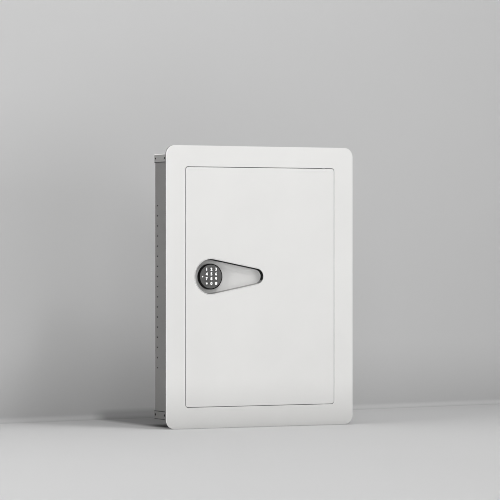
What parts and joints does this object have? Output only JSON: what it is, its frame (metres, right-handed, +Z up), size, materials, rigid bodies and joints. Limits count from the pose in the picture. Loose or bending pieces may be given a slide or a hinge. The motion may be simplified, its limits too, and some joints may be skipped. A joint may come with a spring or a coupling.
{
  "type": "in-wall safe",
  "caption": "Recessed in-wall safe: flush hinged door, keypad knob in a teardrop recess that throws lock bolts, adjustable shelves in a shallow sheet-steel case.",
  "frame": {"origin": "centre of the wall opening, in the plane of the wall's surface, where the trim frame's rim rests", "axes": "+X to the right for someone who faces the door, +Y into the wall, +Z up"},
  "size_m": [0.41, 0.105, 0.553],
  "materials": {
    "white_powder_coat": "off-white fine-texture powder coat",
    "grey_case_steel": "mid-grey matt coat on folded sheet steel",
    "inner_steel": "grey matt coat",
    "bright_steel": "zinc-bright machined steel",
    "brass_bush": "turned brass",
    "black_rubber": "black rubber pad",
    "grey_felt": "dark grey felt",
    "black_plastic": "black moulded plastic",
    "cell_sleeve": "shrink sleeve round four cells",
    "red_plastic": "red moulded plastic",
    "grey_plastic": "dark grey moulded plastic",
    "key_rubber": "dark grey silicone rubber",
    "white_lens": "white translucent plastic"
  },
  "bodies": {
    "housing": {"front_frame": "white_powder_coat", "case_shell": "grey_case_steel", "case_top_cap": "grey_case_steel", "case_bottom_cap": "grey_case_steel", "jamb_latch_side": "inner_steel", "jamb_hinge_side": "inner_steel", "jamb_head": "inner_steel", "jamb_sill": "inner_steel", "hinge_bush_top": "brass_bush", "hinge_bush_bottom": "brass_bush", "door_bumper": "black_rubber", "floor_liner": "grey_felt", "shelf_upper": "inner_steel", "shelf_lower": "inner_steel", "shelf_clip_upper_left": "bright_steel", "shelf_clip_upper_right": "bright_steel", "shelf_clip_lower_left": "bright_steel", "shelf_clip_lower_right": "bright_steel"},
    "door": {"door_panel": "white_powder_coat", "handle_cup": "white_powder_coat", "door_tray": "inner_steel", "door_cover": "inner_steel", "door_pivot_top": "bright_steel", "door_pivot_bottom": "bright_steel", "spindle_bush": "brass_bush", "guide_stud_upper": "bright_steel", "guide_stud_lower": "bright_steel", "solenoid_body": "black_plastic", "solenoid_lead": "black_plastic", "control_module": "black_plastic", "battery_box": "black_plastic", "battery_pack": "cell_sleeve", "cover_screw_1": "bright_steel", "cover_screw_2": "bright_steel", "cover_screw_3": "bright_steel", "cover_screw_4": "bright_steel"},
    "bolt_work": {"bolt_bar": "bright_steel", "lock_bolt_upper": "bright_steel", "lock_bolt_middle": "bright_steel", "lock_bolt_lower": "bright_steel"},
    "knob": {"knob_body": "grey_plastic", "led_lens": "white_lens", "knob_spindle": "bright_steel", "cam_disc": "bright_steel", "cam_clip": "bright_steel"},
    "plunger": {"solenoid_plunger": "bright_steel"},
    "battery_lid": {"battery_lid": "black_plastic"},
    "reset_button": {"reset_button": "red_plastic"},
    "key_1": {"key_1": "key_rubber"},
    "key_2": {"key_2": "key_rubber"},
    "key_3": {"key_3": "key_rubber"},
    "key_4": {"key_4": "key_rubber"},
    "key_5": {"key_5": "key_rubber"},
    "key_6": {"key_6": "key_rubber"},
    "key_7": {"key_7": "key_rubber"},
    "key_8": {"key_8": "key_rubber"},
    "key_9": {"key_9": "key_rubber"},
    "key_star": {"key_star": "key_rubber"},
    "key_0": {"key_0": "key_rubber"},
    "key_hash": {"key_hash": "key_rubber"}
  },
  "joints": [
    {"name": "door_swing", "type": "hinge", "parent": "housing", "child": "door", "pos_m": [0.1425, 0.0025, 0], "axis": [0, 0, 1], "range_deg": [0, 90]},
    {"name": "knob_turn", "type": "hinge", "parent": "door", "child": "knob", "pos_m": [-0.1082, 0, 0.0203], "axis": [0, -1, 0], "range_deg": [0, 90]},
    {"name": "bolts_throw", "type": "slide", "parent": "door", "child": "bolt_work", "axis": [-1, 0, 0], "range_m": [0, 0.012]},
    {"name": "plunger_stroke", "type": "slide", "parent": "door", "child": "plunger", "axis": [0, 1, 0], "range_m": [0, 0.0035]},
    {"name": "battery_lid_slide", "type": "slide", "parent": "door", "child": "battery_lid", "axis": [0, 0, -1], "range_m": [0, 0.062]},
    {"name": "reset_press", "type": "slide", "parent": "door", "child": "reset_button", "axis": [0, -1, 0], "range_m": [0, 0.0015], "stiffness_N_per_m": 400, "springref_m": -0.001},
    {"name": "key_1_press", "type": "slide", "parent": "knob", "child": "key_1", "axis": [0, 1, 0], "range_m": [0, 0.0007], "stiffness_N_per_m": 500, "springref_m": -0.0008},
    {"name": "key_2_press", "type": "slide", "parent": "knob", "child": "key_2", "axis": [0, 1, 0], "range_m": [0, 0.0007], "stiffness_N_per_m": 500, "springref_m": -0.0008},
    {"name": "key_3_press", "type": "slide", "parent": "knob", "child": "key_3", "axis": [0, 1, 0], "range_m": [0, 0.0007], "stiffness_N_per_m": 500, "springref_m": -0.0008},
    {"name": "key_4_press", "type": "slide", "parent": "knob", "child": "key_4", "axis": [0, 1, 0], "range_m": [0, 0.0007], "stiffness_N_per_m": 500, "springref_m": -0.0008},
    {"name": "key_5_press", "type": "slide", "parent": "knob", "child": "key_5", "axis": [0, 1, 0], "range_m": [0, 0.0007], "stiffness_N_per_m": 500, "springref_m": -0.0008},
    {"name": "key_6_press", "type": "slide", "parent": "knob", "child": "key_6", "axis": [0, 1, 0], "range_m": [0, 0.0007], "stiffness_N_per_m": 500, "springref_m": -0.0008},
    {"name": "key_7_press", "type": "slide", "parent": "knob", "child": "key_7", "axis": [0, 1, 0], "range_m": [0, 0.0007], "stiffness_N_per_m": 500, "springref_m": -0.0008},
    {"name": "key_8_press", "type": "slide", "parent": "knob", "child": "key_8", "axis": [0, 1, 0], "range_m": [0, 0.0007], "stiffness_N_per_m": 500, "springref_m": -0.0008},
    {"name": "key_9_press", "type": "slide", "parent": "knob", "child": "key_9", "axis": [0, 1, 0], "range_m": [0, 0.0007], "stiffness_N_per_m": 500, "springref_m": -0.0008},
    {"name": "key_star_press", "type": "slide", "parent": "knob", "child": "key_star", "axis": [0, 1, 0], "range_m": [0, 0.0007], "stiffness_N_per_m": 500, "springref_m": -0.0008},
    {"name": "key_0_press", "type": "slide", "parent": "knob", "child": "key_0", "axis": [0, 1, 0], "range_m": [0, 0.0007], "stiffness_N_per_m": 500, "springref_m": -0.0008},
    {"name": "key_hash_press", "type": "slide", "parent": "knob", "child": "key_hash", "axis": [0, 1, 0], "range_m": [0, 0.0007], "stiffness_N_per_m": 500, "springref_m": -0.0008}
  ],
  "couplings": [
    {"joint": "knob_turn", "follows": "bolts_throw", "rad_per_m": 130.89}
  ]
}
